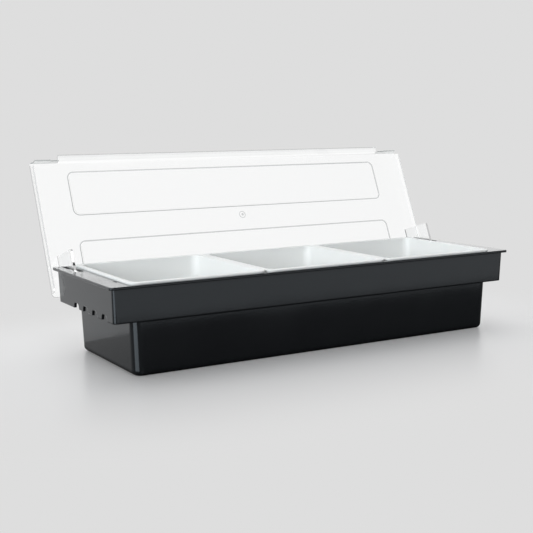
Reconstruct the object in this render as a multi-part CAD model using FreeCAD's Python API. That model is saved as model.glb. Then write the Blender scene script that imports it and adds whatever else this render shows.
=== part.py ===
import FreeCAD, Part
import math
import os

os.makedirs("parts", exist_ok=True)

# Black bar caddy with three lift-out white tubs and a clear lid on two hinge ears.
# Millimetres, +Z up. Origin: centre of the base's underside. Front is -Y.

# Base
LENGTH = 494.0
DEPTH = 162.0
HEIGHT = 90.3
RIM_THICKNESS = 2.6
RIM_CORNER_R = 4.0
RIM_EDGE_R = 0.6

# Step and aprons under the rim
APRON_HEIGHT = 35.9
APRON_TOP_INSET = 4.0
APRON_FOOT_INSET = 5.1
APRON_WALL = 2.6
APRON_CORNER_R = 4.5
APRON_REAR_INSET = 7.0

# Scalloped notches in the lower edge of each end apron
NOTCH_WIDTH = 14.0
NOTCH_HEIGHT = 5.8
NOTCH_TOP_R = 4.0
NOTCH_SLANT = 1.5
NOTCH_REAR_Y = 30.3
NOTCH_PITCH = 24.9
NOTCH_COUNT = 4

# Bin, narrower towards its floor
BIN_TOP_END_INSET = 23.5
BIN_FLOOR_END_INSET = 27.0
BIN_TOP_SIDE_INSET = 6.5
BIN_FLOOR_SIDE_INSET = 8.7
BIN_WALL = 2.3
BIN_FLOOR = 2.6
BIN_CORNER_R = 10.0
BIN_FOOT_R = 5.5

# Tubs
TUB_COUNT = 3
TUB_PITCH = 150.0
TUB_GAP = 0.6
TUB_FLANGE_DEPTH = 152.8
TUB_FLANGE_THICKNESS = 1.8
TUB_FLANGE_CORNER_R = 9.0
TUB_OVERHANG = 4.4
TUB_WALL = 1.6
TUB_HEIGHT = 76.0
TUB_DRAFT = 3.2
TUB_CORNER_R = 10.0
TUB_MOUTH_CHAMFER = 0.5

# Lid, drawn closed and then swung back to where it rests when open
LID_LEAN = 23.6
LID_HALF_WIDTH = 248.7
LID_THICKNESS = 2.2
LID_RAISE = 7.0
LID_UPPER = 118.0
LID_LOWER = 34.5
LID_CORNER_R = 4.0
LID_FLANGE_THICKNESS = 1.4
LID_FLANGE_DEPTH = 8.0
LID_FLANGE_END_R = 5.0
LIP_HALF_WIDTH = 217.0
LIP_REACH = 6.0
LIP_DROP = 4.9
FRONT_FLANGE_DROP = 4.9
FOOT_DROP = 6.7
FOOT_START = 227.0
PANEL_HALF_WIDTH = 208.0
PANEL_STEP = 0.8
PANEL_CORNER_R = 7.0
UPPER_PANEL = (55.4, 105.6)
LOWER_PANEL = (-24.0, 25.5)
GATE_U = 44.5
GATE_R = 3.6
GATE_DEPTH = 0.5

# Hinge
PIVOT_FROM_BACK = 13.0
PIVOT_BELOW_RIM = 9.6
PIN_R = 2.5
PIN_HOLE_R = 2.56
PIN_END = 241.4
PIN_HOLE_END = 241.8
BEARING_R = 5.5
BEARING_FACE = 236.9
EAR_OUTER = 236.2
EAR_THICKNESS = 2.5
EAR_DEPTH = 43.0
EAR_BOSS_R = 5.6
EAR_ROOT = (-2.9, 10.0)
EAR_TIP_U = 4.4
EAR_THROAT = ((-8.5, 13.6), (-5.4, 14.4), (-3.15, 8.45))
SLOT_OUTER = 238.0
SLOT_INNER = 228.7
SLOT_FRONT_FROM_BACK = 48.6
SLOT_REAR_FROM_BACK = 5.0
SLOT_CORNER_R = 4.2

# Narrow drain slot near each front corner of the rim
DRAIN_X = 228.6
DRAIN_Y = -48.7
DRAIN_LENGTH = 8.0
DRAIN_WIDTH = 2.4

HALF_L = LENGTH / 2
HALF_D = DEPTH / 2
PIVOT_Y = HALF_D - PIVOT_FROM_BACK
PIVOT_Z = HEIGHT - PIVOT_BELOW_RIM
LID_Z = HEIGHT + LID_RAISE
LEAN = math.radians(LID_LEAN)
# The pivot seen from the lid: how far up it from the rim and how far off its plane
PIVOT_W = PIVOT_BELOW_RIM + LID_RAISE
PIVOT_U = (LID_RAISE - PIVOT_W * (1 + math.sin(LEAN))) / math.cos(LEAN)
OVERLAP = 1.0


def v(x, y, z):
    return FreeCAD.Vector(x, y, z)


def box(x0, x1, y0, y1, z0, z1):
    return Part.makeBox(x1 - x0, y1 - y0, z1 - z0, v(x0, y0, z0))


def rounded_wire(half_x, half_y, radius, z, cx=0.0, cy=0.0):
    """Rounded rectangle centred on (cx, cy) at height z."""
    k = radius * (1 - math.sqrt(0.5))
    x0, x1 = cx - half_x, cx + half_x
    y0, y1 = cy - half_y, cy + half_y
    r = radius
    edges = []
    corners = [
        ((x1, y0 + r), (x1 - k, y0 + k), (x1 - r, y0)),
        ((x0 + r, y0), (x0 + k, y0 + k), (x0, y0 + r)),
        ((x0, y1 - r), (x0 + k, y1 - k), (x0 + r, y1)),
        ((x1 - r, y1), (x1 - k, y1 - k), (x1, y1 - r)),
    ]
    for index, (start, middle, end) in enumerate(corners):
        arc = Part.Arc(v(start[0], start[1], z), v(middle[0], middle[1], z), v(end[0], end[1], z))
        edges.append(arc.toShape())
        following = corners[(index + 1) % 4][0]
        edges.append(Part.makeLine(v(end[0], end[1], z), v(following[0], following[1], z)))
    return Part.Wire(edges)


def rounded_prism(half_x, half_y, radius, z0, z1, cx=0.0, cy=0.0):
    face = Part.Face(rounded_wire(half_x, half_y, radius, z0, cx, cy))
    return face.extrude(v(0, 0, z1 - z0))


def tapered(low, high, radius, foot_radius=0.0, cx=0.0):
    """Block between two rectangles, each (half_x, half_y, z), with rounded corners and foot."""
    x0, y0, z0 = low
    x1, y1, z1 = high
    block = Part.makeWedge(cx - x0, z0, -y0, -y1, cx - x1, cx + x0, z1, y0, y1, cx + x1)
    block.rotate(v(0, 0, 0), v(1, 0, 0), 90)
    uprights = [edge for edge in block.Edges if edge.BoundBox.ZLength > (z1 - z0) / 2]
    if foot_radius == radius:
        return block.makeFillet(radius, uprights + edges_at_height(block, z0))
    block = block.makeFillet(radius, uprights)
    if foot_radius:
        block = block.makeFillet(foot_radius, edges_at_height(block, z0))
    return block


def edges_at_height(shape, z):
    found = []
    for edge in shape.Edges:
        bounds = edge.BoundBox
        if abs(bounds.ZMin - z) < 1e-3 and abs(bounds.ZMax - z) < 1e-3:
            found.append(edge)
    return found


def prism_x(points, x0, x1):
    """Outline in Y and Z, pushed from x0 to x1."""
    closed = [v(x0, y, z) for y, z in points]
    closed.append(closed[0])
    return Part.Face(Part.makePolygon(closed)).extrude(v(x1 - x0, 0, 0))


def both_ends(shape):
    return shape.fuse(shape.mirror(v(0, 0, 0), v(1, 0, 0)))


def rim():
    plate = rounded_prism(HALF_L, HALF_D, RIM_CORNER_R, HEIGHT - RIM_THICKNESS, HEIGHT)
    return plate.makeFillet(RIM_EDGE_R, edges_at_height(plate, HEIGHT))


def apron():
    foot_z = HEIGHT - APRON_HEIGHT
    top_z = HEIGHT - RIM_THICKNESS / 2
    outer = tapered(
        (HALF_L - APRON_FOOT_INSET, HALF_D - APRON_FOOT_INSET, foot_z),
        (HALF_L - APRON_TOP_INSET, HALF_D - APRON_TOP_INSET, top_z),
        APRON_CORNER_R,
    )
    foot_in = APRON_FOOT_INSET + APRON_WALL
    top_in = APRON_TOP_INSET + APRON_WALL
    inner = tapered(
        (HALF_L - foot_in, HALF_D - foot_in, foot_z - OVERLAP),
        (HALF_L - top_in, HALF_D - top_in, top_z + OVERLAP),
        APRON_CORNER_R - APRON_WALL,
    )
    ring = outer.cut(inner)
    # The back is open between the end aprons, and their rear edges slope in for the lid.
    inside = HALF_L - top_in
    ring = ring.cut(box(-inside, inside, HALF_D / 2, HALF_D, foot_z - OVERLAP, HEIGHT))
    slope = prism_x(
        [
            (HALF_D - APRON_TOP_INSET, HEIGHT),
            (HALF_D - APRON_REAR_INSET, foot_z - OVERLAP),
            (HALF_D + OVERLAP, foot_z - OVERLAP),
            (HALF_D + OVERLAP, HEIGHT),
        ],
        -HALF_L,
        HALF_L,
    )
    return ring.cut(slope)


def notch_cutters():
    foot_z = HEIGHT - APRON_HEIGHT
    half = NOTCH_WIDTH / 2
    cutters = []
    for index in range(NOTCH_COUNT):
        middle = NOTCH_REAR_Y - half - index * NOTCH_PITCH
        outline = [
            (middle - half, foot_z - OVERLAP),
            (middle - half + NOTCH_SLANT, foot_z + NOTCH_HEIGHT),
            (middle + half - NOTCH_SLANT, foot_z + NOTCH_HEIGHT),
            (middle + half, foot_z - OVERLAP),
        ]
        arch = prism_x(outline, HALF_L - 12.0, HALF_L)
        arch = arch.makeFillet(NOTCH_TOP_R, crown_edges(arch, foot_z + NOTCH_HEIGHT))
        cutters.append(arch)
    return both_ends(Part.makeCompound(cutters))


def crown_edges(shape, z):
    """Edges along X at height z."""
    return [edge for edge in edges_at_height(shape, z) if edge.BoundBox.YLength < 1e-4]


def bin_body():
    floor_x = HALF_L - BIN_FLOOR_END_INSET
    floor_y = HALF_D - BIN_FLOOR_SIDE_INSET
    top_x = HALF_L - BIN_TOP_END_INSET
    top_y = HALF_D - BIN_TOP_SIDE_INSET
    high = (top_x, top_y, HEIGHT - OVERLAP)
    return tapered((floor_x, floor_y, 0.0), high, BIN_CORNER_R, BIN_FOOT_R)


def bin_cavity():
    floor_x = HALF_L - BIN_FLOOR_END_INSET - BIN_WALL
    floor_y = HALF_D - BIN_FLOOR_SIDE_INSET - BIN_WALL
    top_x = HALF_L - BIN_TOP_END_INSET - BIN_WALL
    top_y = HALF_D - BIN_TOP_SIDE_INSET - BIN_WALL
    low = (floor_x, floor_y, BIN_FLOOR)
    high = (top_x, top_y, HEIGHT + OVERLAP)
    return tapered(low, high, BIN_CORNER_R - BIN_WALL, BIN_FOOT_R - BIN_WALL)


def hinge_slots():
    half_x = (SLOT_OUTER - SLOT_INNER) / 2
    half_y = (SLOT_FRONT_FROM_BACK - SLOT_REAR_FROM_BACK) / 2
    slot = rounded_prism(
        half_x,
        half_y,
        SLOT_CORNER_R,
        HEIGHT - 2 * RIM_THICKNESS,
        HEIGHT + OVERLAP,
        SLOT_INNER + half_x,
        HALF_D - SLOT_REAR_FROM_BACK - half_y,
    )
    return both_ends(slot)


def drain_slots():
    slot = rounded_prism(
        DRAIN_WIDTH / 2,
        DRAIN_LENGTH / 2,
        DRAIN_WIDTH / 2 - 0.05,
        HEIGHT - 2 * RIM_THICKNESS,
        HEIGHT + OVERLAP,
        DRAIN_X,
        DRAIN_Y,
    )
    return both_ends(slot)


def bearings():
    """Bosses for the hinge pins on the inner faces of the end aprons."""
    length = HALF_L - APRON_TOP_INSET - OVERLAP - BEARING_FACE
    boss = Part.makeCylinder(BEARING_R, length, v(BEARING_FACE, PIVOT_Y, PIVOT_Z), v(1, 0, 0))
    neck = box(
        BEARING_FACE,
        BEARING_FACE + length,
        PIVOT_Y - BEARING_R,
        PIVOT_Y + BEARING_R,
        PIVOT_Z,
        HEIGHT - RIM_THICKNESS / 2,
    )
    return both_ends(boss.fuse(neck))


def bearing_holes():
    length = PIN_HOLE_END - BEARING_FACE + OVERLAP
    start = v(BEARING_FACE - OVERLAP, PIVOT_Y, PIVOT_Z)
    return both_ends(Part.makeCylinder(PIN_HOLE_R, length, start, v(1, 0, 0)))


def make_base():
    body = rim().fuse([apron().cut(notch_cutters()), bin_body(), bearings()])
    body = body.cut(bin_cavity())
    body = body.cut(hinge_slots().fuse([drain_slots(), bearing_holes()]))
    return body.removeSplitter()


def make_tub(cx):
    half_x = (TUB_PITCH - TUB_GAP) / 2
    half_y = TUB_FLANGE_DEPTH / 2
    top_z = HEIGHT + TUB_FLANGE_THICKNESS
    floor_z = top_z - TUB_HEIGHT
    mouth = (half_x - TUB_OVERHANG, half_y - TUB_OVERHANG, top_z)
    foot = (mouth[0] - TUB_DRAFT, mouth[1] - TUB_DRAFT, floor_z)
    outer = tapered(foot, mouth, TUB_CORNER_R, TUB_CORNER_R, cx)
    flange = rounded_prism(half_x, half_y, TUB_FLANGE_CORNER_R, HEIGHT, top_z, cx)
    inner_floor = floor_z + TUB_WALL
    inner = tapered(
        (foot[0] - TUB_WALL, foot[1] - TUB_WALL, inner_floor),
        (mouth[0] - TUB_WALL, mouth[1] - TUB_WALL, top_z),
        TUB_CORNER_R - TUB_WALL,
        TUB_CORNER_R - TUB_WALL,
        cx,
    )
    tub = outer.fuse(flange).cut(inner)
    tub = tub.removeSplitter()
    return tub.makeChamfer(TUB_MOUTH_CHAMFER, edges_at_height(tub, top_z))


def lid_y(u):
    """Y in the closed lid of a point u up the lid from the rim, as seen when it is open."""
    return PIVOT_Y - (u - PIVOT_U)


def lid_plate():
    front = lid_y(LID_UPPER)
    rear = lid_y(-LID_LOWER)
    return rounded_prism(
        LID_HALF_WIDTH,
        (rear - front) / 2,
        LID_CORNER_R,
        LID_Z,
        LID_Z + LID_THICKNESS,
        0.0,
        (rear + front) / 2,
    )


def lid_panel(u_range, z0, z1, shrink):
    low = lid_y(u_range[1])
    high = lid_y(u_range[0])
    return rounded_prism(
        PANEL_HALF_WIDTH - shrink,
        (high - low) / 2 - shrink,
        PANEL_CORNER_R - shrink,
        z0,
        z1,
        0.0,
        (high + low) / 2,
    )


def side_flange():
    front = lid_y(LID_UPPER) + LID_CORNER_R
    rear = lid_y(-LID_LOWER) - LID_CORNER_R
    low = LID_Z - LID_FLANGE_DEPTH
    inner = LID_HALF_WIDTH - LID_FLANGE_THICKNESS
    wall = box(inner, LID_HALF_WIDTH, front, rear, low, LID_Z + LID_THICKNESS / 2)
    corners = [edge for edge in edges_at_height(wall, low) if edge.BoundBox.YLength < 1e-4]
    return both_ends(wall.makeFillet(LID_FLANGE_END_R, corners))


def finger_lip():
    front = lid_y(LID_UPPER)
    drop = LIP_DROP - LID_THICKNESS
    outline = [
        (front + LID_THICKNESS, LID_Z + LID_THICKNESS),
        (front, LID_Z + LID_THICKNESS),
        (front - LIP_REACH, LID_Z - drop),
        (front - LIP_REACH, LID_Z - LIP_DROP),
        (front + LID_THICKNESS, LID_Z),
    ]
    return prism_x(outline, -LIP_HALF_WIDTH, LIP_HALF_WIDTH)


def front_flanges():
    front = lid_y(LID_UPPER)
    back = front + LID_FLANGE_THICKNESS
    outer = LID_HALF_WIDTH - LID_CORNER_R
    low = box(LIP_HALF_WIDTH, outer, front, back, LID_Z - FRONT_FLANGE_DROP, LID_Z + OVERLAP)
    foot = box(FOOT_START, outer, front, back, LID_Z - FOOT_DROP, LID_Z + OVERLAP)
    return both_ends(low.fuse(foot))


def hinge_ear():
    """Hooked plate: its throat swings round the back strip of the rim and stops on it."""
    rear_u = PIVOT_U - EAR_BOSS_R
    outline = [
        (EAR_ROOT[0], -OVERLAP),
        (EAR_ROOT[1], -OVERLAP),
        (EAR_ROOT[1], 0.0),
        (EAR_TIP_U, EAR_DEPTH),
        (rear_u, EAR_DEPTH),
        (rear_u, PIVOT_W),
        (PIVOT_U + EAR_BOSS_R, PIVOT_W),
        *EAR_THROAT,
    ]
    inner = EAR_OUTER - EAR_THICKNESS
    points = [(lid_y(u), LID_Z - w) for u, w in outline]
    plate = prism_x(points, inner, EAR_OUTER)
    boss = Part.makeCylinder(EAR_BOSS_R, EAR_THICKNESS, v(inner, PIVOT_Y, PIVOT_Z), v(1, 0, 0))
    pin = Part.makeCylinder(PIN_R, PIN_END - inner, v(inner, PIVOT_Y, PIVOT_Z), v(1, 0, 0))
    return both_ends(plate.fuse([boss, pin]))


def make_lid():
    body = lid_plate().fuse([side_flange(), finger_lip(), front_flanges(), hinge_ear()])
    top = LID_Z + LID_THICKNESS
    for u_range in (UPPER_PANEL, LOWER_PANEL):
        body = body.fuse(lid_panel(u_range, top - OVERLAP, top + PANEL_STEP, 0.0))
        body = body.cut(lid_panel(u_range, LID_Z - OVERLAP, LID_Z + PANEL_STEP, LID_THICKNESS / 2))
    gate = Part.makeCylinder(GATE_R, OVERLAP, v(0, lid_y(GATE_U), top - GATE_DEPTH))
    body = body.cut(gate).removeSplitter()
    body.rotate(v(0, PIVOT_Y, PIVOT_Z), v(1, 0, 0), -(90.0 + LID_LEAN))
    return body


def save(name, shape):
    if len(shape.Solids) != 1 or not shape.isValid():
        raise ValueError(name + " is not one valid solid")
    shape.Solids[0].exportStep("parts/" + name + ".step")
    bounds = shape.optimalBoundingBox()
    print(name, [round(b, 2) for b in (bounds.XMin, bounds.XMax, bounds.YMin, bounds.YMax)],
          [round(b, 2) for b in (bounds.ZMin, bounds.ZMax)], round(shape.Volume / 1000.0, 1), "cm3")


save("base", make_base())
save("insert_left", make_tub(-TUB_PITCH))
save("insert_middle", make_tub(0.0))
save("insert_right", make_tub(TUB_PITCH))
save("lid", make_lid())
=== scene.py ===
import math
import bpy
from mathutils import Matrix, Vector


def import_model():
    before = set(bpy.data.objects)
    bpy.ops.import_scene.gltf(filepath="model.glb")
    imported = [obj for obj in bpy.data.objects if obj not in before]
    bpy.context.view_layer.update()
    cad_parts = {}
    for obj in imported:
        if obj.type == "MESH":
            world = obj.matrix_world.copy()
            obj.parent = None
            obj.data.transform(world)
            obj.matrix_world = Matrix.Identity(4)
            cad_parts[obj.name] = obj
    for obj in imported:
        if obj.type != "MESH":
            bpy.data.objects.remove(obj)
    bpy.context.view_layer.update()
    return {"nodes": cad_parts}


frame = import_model()
nodes = frame["nodes"]

# Camera, as found from the photograph's straight edges
CAMERA_PLACE = (-0.59289, -0.94629, 0.24241)
CAMERA_YAW = 30.663
CAMERA_PITCH = 8.221
CAMERA_ROLL = -0.440
FOCAL_PIXELS = 1016.02
IMAGE_PIXELS = 533
SENSOR = 36.0

# Lid, in metres in the closed lid's axes: the panels are middle Y, half sizes and corner radius
PIVOT = (0, 0.0680, 0.0807)
LID_TURN = math.radians(113.6)
UPPER_PANEL = (-0.03023, (0.208, 0.0251), 0.007)
LOWER_PANEL = (0.04952, (0.208, 0.02475), 0.007)
GATE_MARK = (0.00577, (0.0036, 0.0036), 0.0036)
STEP_Z = 0.0999
SIDE_X = 0.2476
EAR_X = 0.2410
EAR_TOP_Z = 0.0960
SKIRT_FOOT_Z = 0.0899
LIP_END_X = 0.2172
FRONT_Y = -0.0664

# Painted shade on the lid's steps and thick edges, from 0 to 1, in place of the darkness clear plastic shows
# there, and how wide the painted lines are
SKIRT_PAINTED_SHADE = 0.08
FOOT_PAINTED_SHADE = 0.6
EAR_PAINTED_SHADE = 0.19
PIP_PAINTED_SHADE = 0.6
LINE_WIDTH = (0.0005, 0.0010)
PIP_WIDTH = (0.0010, 0.0020)

# Plastics: the two tones and the two roughnesses that the noise runs between
NOISE_RANGE = (0.3, 0.7)
BLACK_TONES = ((0.0060, 0.0063, 0.0070, 1), (0.0092, 0.0096, 0.0104, 1))
BLACK_ROUGHNESS = (0.09, 0.15)
BLACK_IOR = 1.53
BLACK_SPECULAR = (0.84, 0.93, 1.0, 1)
EDGE_RADIUS = 0.0016
WHITE_TONES = ((0.80, 0.81, 0.80, 1), (0.84, 0.845, 0.835, 1))
WHITE_ROUGHNESS = (0.30, 0.42)
WHITE_IOR = 1.49
WHITE_DEPTH = 0.12
WHITE_DEPTH_RADIUS = (0.0030, 0.0028, 0.0026)
# Clear plastic: its own tone, then the tone of the painted shade on its steps and thick edges
CLEAR_AND_PAINTED_SHADE_TONES = ((0.992, 0.996, 0.995, 1), (0.38, 0.40, 0.40, 1))
CLEAR_ROUGHNESS = (0.02, 0.07)
CLEAR_IOR = 1.49
LAMP_THROUGH = (0.93, 0.94, 0.94, 1)
# Painted glow of the clear plastic, and the ray depth at which it glows, in place of light piped along inside
# it
PIPED_PAINTED_GLOW = 0.60
PAINTED_GLOW_DEPTH = 5

# Floor and backdrop
GREY = 0.730
BEHIND_GLASS = 1.0
WHITE_LIGHT = (1, 1, 1, 1)
FLOOR_TINT = (0.80, 0.80, 0.803, 1)
FLOOR_LIT_TINT = (0.68, 0.68, 0.684, 1)
FLOOR_ROUGHNESS = 0.30
FLOOR_IOR = 1.36
FLOOR_LIFT = 0.13
FLOOR_HALF = 6.0
FOOTPRINT = (0.21, 0.065, 0)
FADE_START = 0.0
FADE_END = 0.25

# Board that only the object's polish shows
BOARD_REAR = 0.099
BOARD_FRONT = -0.27
BOARD_LIFT = 0.0002
BOARD_TINT = (0.01, 0.01, 0.01, 1)
BOARD_ROUGHNESS = 0.10

# World: the ranges are parts of a direction, Y from front to back and Z from level to up
WORLD_FRONT = 0.18
WORLD_BACK = 0.73
FRONT_TO_BACK = (-0.35, 0.45)
WALL_LIFT = 0.80
WALL_Y = (0.55, 0.80)
WALL_Z = (0.16, 0.34)
COOL = (0.94, 0.99, 1.03, 1)
SOFTBOX_COLOUR = (0.95, 1.0, 1.03)


def shader(name):
    """New node material: returns it, its node tree and its Principled node."""
    material = bpy.data.materials.new(name)
    material.use_nodes = True
    tree = material.node_tree
    return material, tree, tree.nodes["Principled BSDF"]


def put(tree, kind, inputs=(), **settings):
    """New node with its inputs set: a number or colour is written, a socket is linked."""
    node = tree.nodes.new(kind)
    for key, value in settings.items():
        setattr(node, key, value)
    for key, value in dict(inputs).items():
        if isinstance(value, bpy.types.NodeSocket):
            tree.links.new(value, node.inputs[key])
        else:
            node.inputs[key].default_value = value
    return node


def number(tree, operation, *inputs):
    """Math node: a number or a socket in each place."""
    return put(tree, "ShaderNodeMath", dict(enumerate(inputs)), operation=operation).outputs[0]


def chain(tree, operation, *values):
    """Math nodes over all the values, from left to right."""
    total = values[0]
    for value in values[1:]:
        total = number(tree, operation, total, value)
    return total


def vector(tree, operation, *inputs):
    """Vector Math node that gives a vector."""
    return put(tree, "ShaderNodeVectorMath", dict(enumerate(inputs)), operation=operation).outputs["Vector"]


def measure(tree, operation, *inputs):
    """Vector Math node that gives a number, such as LENGTH or DISTANCE."""
    return put(tree, "ShaderNodeVectorMath", dict(enumerate(inputs)), operation=operation).outputs["Value"]


def spread(tree, value, low, high, from_low, from_high):
    """Number between low and high as value runs over its range."""
    inputs = {0: value, 1: from_low, 2: from_high, 3: low, 4: high}
    return put(tree, "ShaderNodeMapRange", inputs).outputs[0]


def tint(tree, share, first, second):
    """Colour between two."""
    return put(tree, "ShaderNodeMix", {0: share, 6: first, 7: second}, data_type="RGBA").outputs[2]


def either(tree, share, first, second):
    """Shader between two."""
    return put(tree, "ShaderNodeMixShader", {0: share, 1: first, 2: second}).outputs[0]


def glow(tree, level):
    """Plain emission, where 1 is white."""
    return put(tree, "ShaderNodeEmission", {"Color": WHITE_LIGHT, "Strength": level}).outputs[0]


def noise(tree, place, scale, detail, roughness):
    inputs = {"Vector": place, "Scale": scale, "Detail": detail, "Roughness": roughness}
    return put(tree, "ShaderNodeTexNoise", inputs).outputs["Fac"]


def bump(tree, height, strength, distance, normal=None):
    inputs = {"Height": height, "Strength": strength, "Distance": distance}
    if normal is not None:
        inputs["Normal"] = normal
    return put(tree, "ShaderNodeBump", inputs).outputs["Normal"]


def black_plastic():
    """Polished black moulding: faint flow marks, fine orange peel, a little handling haze."""
    material, tree, surface = shader("base_black_gloss")
    place = put(tree, "ShaderNodeTexCoord").outputs["Object"]
    haze = noise(tree, place, scale=22.0, detail=4.0, roughness=0.6)
    peel = noise(tree, place, scale=420.0, detail=2.0, roughness=0.5)
    grain = noise(tree, place, scale=2600.0, detail=1.0, roughness=0.5)
    tree.links.new(tint(tree, haze, *BLACK_TONES), surface.inputs["Base Color"])
    tree.links.new(spread(tree, haze, *BLACK_ROUGHNESS, *NOISE_RANGE), surface.inputs["Roughness"])
    round_edge = put(tree, "ShaderNodeBevel", {"Radius": EDGE_RADIUS}, samples=8).outputs["Normal"]
    peeled = bump(tree, peel, strength=0.10, distance=0.0003, normal=round_edge)
    grained = bump(tree, grain, strength=0.06, distance=0.0001, normal=peeled)
    tree.links.new(grained, surface.inputs["Normal"])
    surface.inputs["IOR"].default_value = BLACK_IOR
    surface.inputs["Specular Tint"].default_value = BLACK_SPECULAR
    return material


def white_plastic():
    """Satin white moulding with a soft depth to it and a fine spark-eroded grain."""
    material, tree, surface = shader("insert_white_satin")
    place = put(tree, "ShaderNodeTexCoord").outputs["Object"]
    cloud = noise(tree, place, scale=30.0, detail=3.0, roughness=0.5)
    grain = noise(tree, place, scale=1500.0, detail=2.0, roughness=0.6)
    tree.links.new(tint(tree, cloud, *WHITE_TONES), surface.inputs["Base Color"])
    tree.links.new(spread(tree, cloud, *WHITE_ROUGHNESS, *NOISE_RANGE), surface.inputs["Roughness"])
    tree.links.new(bump(tree, grain, strength=0.12, distance=0.0001), surface.inputs["Normal"])
    surface.inputs["IOR"].default_value = WHITE_IOR
    surface.inputs["Subsurface Weight"].default_value = WHITE_DEPTH
    surface.inputs["Subsurface Radius"].default_value = WHITE_DEPTH_RADIUS
    return material


def edge_of(tree, flat, height, centre_y, half, radius):
    """Distance from the step round a raised panel with rounded corners, in the closed lid's axes."""
    sides = vector(tree, "ABSOLUTE", vector(tree, "SUBTRACT", flat, (0, centre_y, 0)))
    past = vector(tree, "SUBTRACT", sides, (half[0] - radius, half[1] - radius, 0))
    corner = vector(tree, "MAXIMUM", past, (0, 0, 0))
    across = number(tree, "SUBTRACT", measure(tree, "LENGTH", corner), radius)
    upward = number(tree, "MULTIPLY", height, height)
    return number(tree, "SQRT", number(tree, "MULTIPLY_ADD", across, across, upward))


def painted_step_shade(tree, place):
    """Painted shade on the lid: 1 on the steps of its panels and gate mark, less on its thick edges, else 0.
    """
    turn = {"Vector": place, "Center": PIVOT, "Angle": LID_TURN}
    turned = put(tree, "ShaderNodeVectorRotate", turn, rotation_type="X_AXIS").outputs[0]
    flat = vector(tree, "MULTIPLY", turned, (1, 1, 0))
    axes = put(tree, "ShaderNodeSeparateXYZ", {0: turned}).outputs
    side = number(tree, "ABSOLUTE", axes["X"])
    height = number(tree, "SUBTRACT", axes["Z"], STEP_Z)

    edges = [edge_of(tree, flat, height, *panel) for panel in (UPPER_PANEL, LOWER_PANEL, GATE_MARK)]
    # Painted shade lines along the panel and gate mark steps, and on the skirts, ears, foot and front corners
    # below
    steps = spread(tree, chain(tree, "MINIMUM", *edges), 1.0, 0.0, *LINE_WIDTH)
    from_gate = measure(tree, "DISTANCE", flat, (0, GATE_MARK[0], 0))
    pip = spread(tree, from_gate, PIP_PAINTED_SHADE, 0.0, *PIP_WIDTH)

    skirts = chain(tree, "MULTIPLY", number(tree, "GREATER_THAN", side, SIDE_X), SKIRT_PAINTED_SHADE)
    low = number(tree, "LESS_THAN", axes["Z"], SKIRT_FOOT_Z)
    outboard = number(tree, "GREATER_THAN", side, EAR_X)
    foot = chain(tree, "MULTIPLY", low, outboard, FOOT_PAINTED_SHADE)
    below = number(tree, "LESS_THAN", axes["Z"], EAR_TOP_Z)
    inboard = number(tree, "LESS_THAN", side, EAR_X)
    ears = chain(tree, "MULTIPLY", below, inboard, EAR_PAINTED_SHADE)
    front = number(tree, "LESS_THAN", axes["Y"], FRONT_Y)
    past_lip = number(tree, "GREATER_THAN", side, LIP_END_X)
    corners = chain(tree, "MULTIPLY", front, past_lip)
    return chain(tree, "MAXIMUM", steps, pip, skirts, ears, corners, foot)


def let_through_with_painted_glow(tree, surface):
    """Lamps shine through the clear plastic, and rays that go deep inside it end on a painted glow, in place
    of light piped along inside it, so they end pale, not black.
    """
    path = put(tree, "ShaderNodeLightPath")
    open_way = put(tree, "ShaderNodeBsdfTransparent", {"Color": LAMP_THROUGH}).outputs[0]
    both = either(tree, path.outputs["Is Shadow Ray"], surface.outputs[0], open_way)
    tree.links.new(both, tree.nodes["Material Output"].inputs["Surface"])
    # Painted glow: at this ray depth the plastic glows white
    deep = number(tree, "COMPARE", path.outputs["Ray Depth"], PAINTED_GLOW_DEPTH, 0.5)
    surface.inputs["Emission Color"].default_value = WHITE_LIGHT
    tree.links.new(number(tree, "MULTIPLY", deep, PIPED_PAINTED_GLOW), surface.inputs["Emission Strength"])


def clear_plastic():
    """Clear moulding, faintly milky, with slow waves in its faces and painted shade lines at its steps and
    thick edges.
    """
    material, tree, surface = shader("lid_clear")
    place = put(tree, "ShaderNodeTexCoord").outputs["Object"]
    wave = noise(tree, place, scale=14.0, detail=2.0, roughness=0.4)
    grain = noise(tree, place, scale=900.0, detail=2.0, roughness=0.5)
    tree.links.new(spread(tree, wave, *CLEAR_ROUGHNESS, *NOISE_RANGE), surface.inputs["Roughness"])
    waved = bump(tree, wave, strength=0.10, distance=0.0006)
    grained = bump(tree, grain, strength=0.03, distance=0.0001, normal=waved)
    tree.links.new(grained, surface.inputs["Normal"])
    # Painted shade: the lid's tone runs to the dark second tone on its steps, gate mark and thick edges
    tone_with_painted_shade = tint(tree, painted_step_shade(tree, place), *CLEAR_AND_PAINTED_SHADE_TONES)
    tree.links.new(tone_with_painted_shade, surface.inputs["Base Color"])
    surface.inputs["IOR"].default_value = CLEAR_IOR
    surface.inputs["Transmission Weight"].default_value = 1.0
    let_through_with_painted_glow(tree, surface)
    return material


def dress(name, material):
    """Give a CAD node its finish in every slot it has."""
    node = nodes[name]
    if not node.material_slots:
        node.data.materials.append(material)
    for slot in node.material_slots:
        slot.link = "OBJECT"
        slot.material = material


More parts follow.
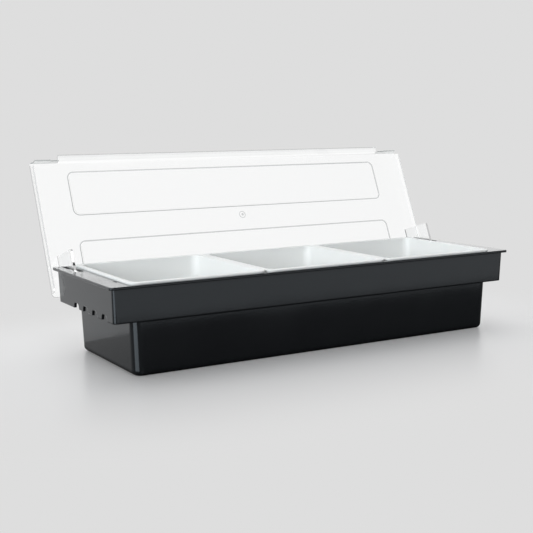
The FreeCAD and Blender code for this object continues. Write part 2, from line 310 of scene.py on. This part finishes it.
def stage_material():
    """Pale, slightly glossy floor that keeps the object's shadow and turns into the backdrop further out."""
    material = bpy.data.materials.new("stage")
    material.use_nodes = True
    tree = material.node_tree
    tree.nodes.clear()
    place = put(tree, "ShaderNodeTexCoord").outputs["Object"]
    past = vector(tree, "SUBTRACT", vector(tree, "ABSOLUTE", place), FOOTPRINT)
    distance = measure(tree, "LENGTH", vector(tree, "MAXIMUM", past, (0, 0, 0)))
    fade = {0: distance, 1: FADE_START, 2: FADE_END, 3: 0.0, 4: 1.0}
    far = put(tree, "ShaderNodeMapRange", fade, interpolation_type="SMOOTHSTEP").outputs[0]
    path = put(tree, "ShaderNodeLightPath")
    bounce = put(tree, "ShaderNodeBsdfDiffuse", {"Color": FLOOR_TINT}).outputs[0]
    gloss = {"Base Color": FLOOR_LIT_TINT, "Roughness": FLOOR_ROUGHNESS, "IOR": FLOOR_IOR,
             "Emission Color": WHITE_LIGHT, "Emission Strength": FLOOR_LIFT}
    shown = put(tree, "ShaderNodeBsdfPrincipled", gloss).outputs[0]
    near = either(tree, path.outputs["Is Camera Ray"], bounce, shown)
    seen = either(tree, far, near, glow(tree, GREY))
    pale = either(tree, path.outputs["Is Transmission Ray"], seen, glow(tree, BEHIND_GLASS))
    out = put(tree, "ShaderNodeOutputMaterial")
    tree.links.new(pale, out.inputs["Surface"])
    return material


def flat_sheet(name, low, high, height, material):
    """Level rectangle of the stage between two corners."""
    mesh = bpy.data.meshes.new(name)
    corners = [(low[0], low[1]), (high[0], low[1]), (high[0], high[1]), (low[0], high[1])]
    mesh.from_pydata([(x, y, height) for x, y in corners], [], [(0, 1, 2, 3)])
    sheet = bpy.data.objects.new(name, mesh)
    bpy.context.scene.collection.objects.link(sheet)
    mesh.materials.append(material)
    return sheet


def board():
    """Dark glossy board that only the object's polish shows: a guess at what the dark bin mirrors.

    The photograph doesn't show it. Its underside is clear, so that the floor's own gloss ignores it.
    """
    material, tree, surface = shader("board")
    surface.inputs["Base Color"].default_value = BOARD_TINT
    surface.inputs["Roughness"].default_value = BOARD_ROUGHNESS
    under = put(tree, "ShaderNodeNewGeometry").outputs["Backfacing"]
    open_way = put(tree, "ShaderNodeBsdfTransparent").outputs[0]
    both = either(tree, under, surface.outputs[0], open_way)
    tree.links.new(both, tree.nodes["Material Output"].inputs["Surface"])
    sheet = flat_sheet("board", (-FLOOR_HALF, BOARD_FRONT), (FLOOR_HALF, BOARD_REAR), BOARD_LIFT, material)
    sheet.visible_camera = False
    sheet.visible_diffuse = False
    sheet.visible_transmission = False
    sheet.visible_shadow = False


def world():
    """Soft studio: bright behind the object, dimmer in front, a plain backdrop to the camera.

    The low band behind the object is brighter than white and works as a strip lamp.
    """
    sky = bpy.data.worlds.new("studio")
    bpy.context.scene.world = sky
    sky.use_nodes = True
    tree = sky.node_tree
    tree.nodes.clear()
    path = put(tree, "ShaderNodeLightPath")
    way = put(tree, "ShaderNodeTexCoord").outputs["Generated"]
    axes = put(tree, "ShaderNodeSeparateXYZ", {0: way}).outputs
    room = spread(tree, axes["Y"], WORLD_FRONT, WORLD_BACK, *FRONT_TO_BACK)
    behind = spread(tree, axes["Y"], 0.0, WALL_LIFT, *WALL_Y)
    low = spread(tree, axes["Z"], 1.0, 0.0, *WALL_Z)
    level = number(tree, "MULTIPLY_ADD", behind, low, room)
    hue = tint(tree, spread(tree, axes["Y"], 0.0, 1.0, *FRONT_TO_BACK), COOL, WHITE_LIGHT)
    light = put(tree, "ShaderNodeBackground", {"Color": hue, "Strength": level}).outputs[0]
    plain = put(tree, "ShaderNodeBackground", {"Color": WHITE_LIGHT, "Strength": GREY}).outputs[0]
    both = either(tree, path.outputs["Is Camera Ray"], light, plain)
    out = put(tree, "ShaderNodeOutputWorld")
    tree.links.new(both, out.inputs["Surface"])


def toward(azimuth, elevation):
    """Direction from a compass angle (0 is the front, 90 the right side) and a height."""
    around = math.radians(azimuth)
    up = math.radians(elevation)
    return Vector((math.sin(around) * math.cos(up), -math.cos(around) * math.cos(up), math.sin(up)))


def lamp(name, data, way, distance=1.0):
    """Hang a lamp that way from the object, facing it."""
    hung = bpy.data.objects.new(name, data)
    bpy.context.scene.collection.objects.link(hung)
    hung.location = way * distance
    hung.rotation_euler = way.to_track_quat("Z", "Y").to_euler()
    hung.visible_camera = False
    hung.visible_transmission = False
    return hung


def sun(name, azimuth, elevation, angle, strength):
    """Even round lamp, very far off."""
    data = bpy.data.lights.new(name, "SUN")
    data.angle = math.radians(angle)
    data.energy = strength
    lamp(name, data, toward(azimuth, elevation))


def softbox(name, azimuth, elevation, distance, width, height, power, spares):
    """Broad lamp that gives no glare on the things it spares."""
    data = bpy.data.lights.new(name, "AREA")
    data.shape = "RECTANGLE"
    data.size = width
    data.size_y = height
    data.energy = power
    data.color = SOFTBOX_COLOUR
    hung = lamp(name, data, toward(azimuth, elevation), distance)
    spared = bpy.data.collections.new(name + "_spares")
    for thing in spares:
        spared.objects.link(thing)
    for entry in spared.collection_objects:
        entry.light_linking.link_state = "EXCLUDE"
    hung.light_linking.receiver_collection = spared


def camera():
    """Camera at the photograph's place, for its square frame."""
    yaw, pitch, roll = (math.radians(a) for a in (CAMERA_YAW, CAMERA_PITCH, CAMERA_ROLL))
    forward = Vector((math.sin(yaw) * math.cos(pitch), math.cos(yaw) * math.cos(pitch), -math.sin(pitch)))
    level = Vector((math.cos(yaw), -math.sin(yaw), 0))
    upright = level.cross(forward)
    right = math.cos(roll) * level + math.sin(roll) * upright
    up = -math.sin(roll) * level + math.cos(roll) * upright
    data = bpy.data.cameras.new("camera")
    data.sensor_width = SENSOR
    data.lens = FOCAL_PIXELS / IMAGE_PIXELS * SENSOR
    data.clip_start = 0.01
    data.clip_end = 50
    eye = bpy.data.objects.new("camera", data)
    bpy.context.scene.collection.objects.link(eye)
    turn = Matrix((right, up, -forward)).transposed().to_4x4()
    eye.matrix_world = Matrix.Translation(CAMERA_PLACE) @ turn
    bpy.context.scene.camera = eye


# Object
dress("base", black_plastic())
WHITE = white_plastic()
for tub in ("insert_left", "insert_middle", "insert_right"):
    dress(tub, WHITE)
dress("lid", clear_plastic())

# Stage, light and camera
FLOOR = flat_sheet("floor", (-FLOOR_HALF, -FLOOR_HALF), (FLOOR_HALF, FLOOR_HALF), 0.0, stage_material())
board()
world()
softbox("softbox_left", azimuth=-67, elevation=15, distance=4.0, width=3.0, height=1.4, power=110,
        spares=(FLOOR, nodes["lid"]))
sun("lamp_front", azimuth=-5, elevation=40, angle=30, strength=0.65)
sun("lamp_top", azimuth=170, elevation=72, angle=50, strength=0.70)
camera()
bpy.context.scene.view_settings.view_transform = "Standard"
